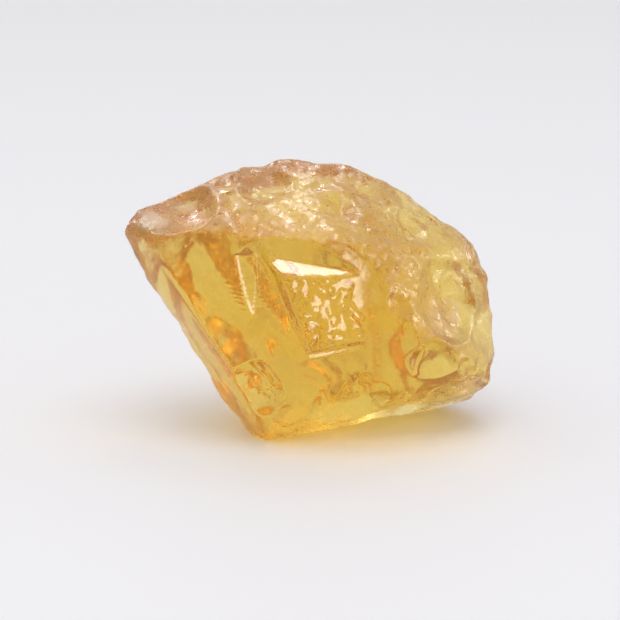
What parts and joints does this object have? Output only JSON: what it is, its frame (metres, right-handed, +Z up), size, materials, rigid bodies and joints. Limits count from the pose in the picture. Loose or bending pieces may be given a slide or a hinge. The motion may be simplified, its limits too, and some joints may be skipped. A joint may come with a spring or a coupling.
{
  "type": "raw amber piece",
  "caption": "Raw golden see-through amber piece with flat clear breaks, worn edges and a frosted, pitted skin; it rests on its flattest break.",
  "frame": {"origin": "middle of the bounding box on the surface that the piece rests on", "axes": "+Z up, +X along the longest side, -Y towards the side with the large clear break"},
  "size_m": [0.028, 0.0182, 0.0196],
  "materials": {
    "amber": "clear golden resin, glossy on the fresh breaks and frosted on the worn skin"
  },
  "bodies": {
    "root": {"amber_piece": "amber"}
  },
  "joints": []
}
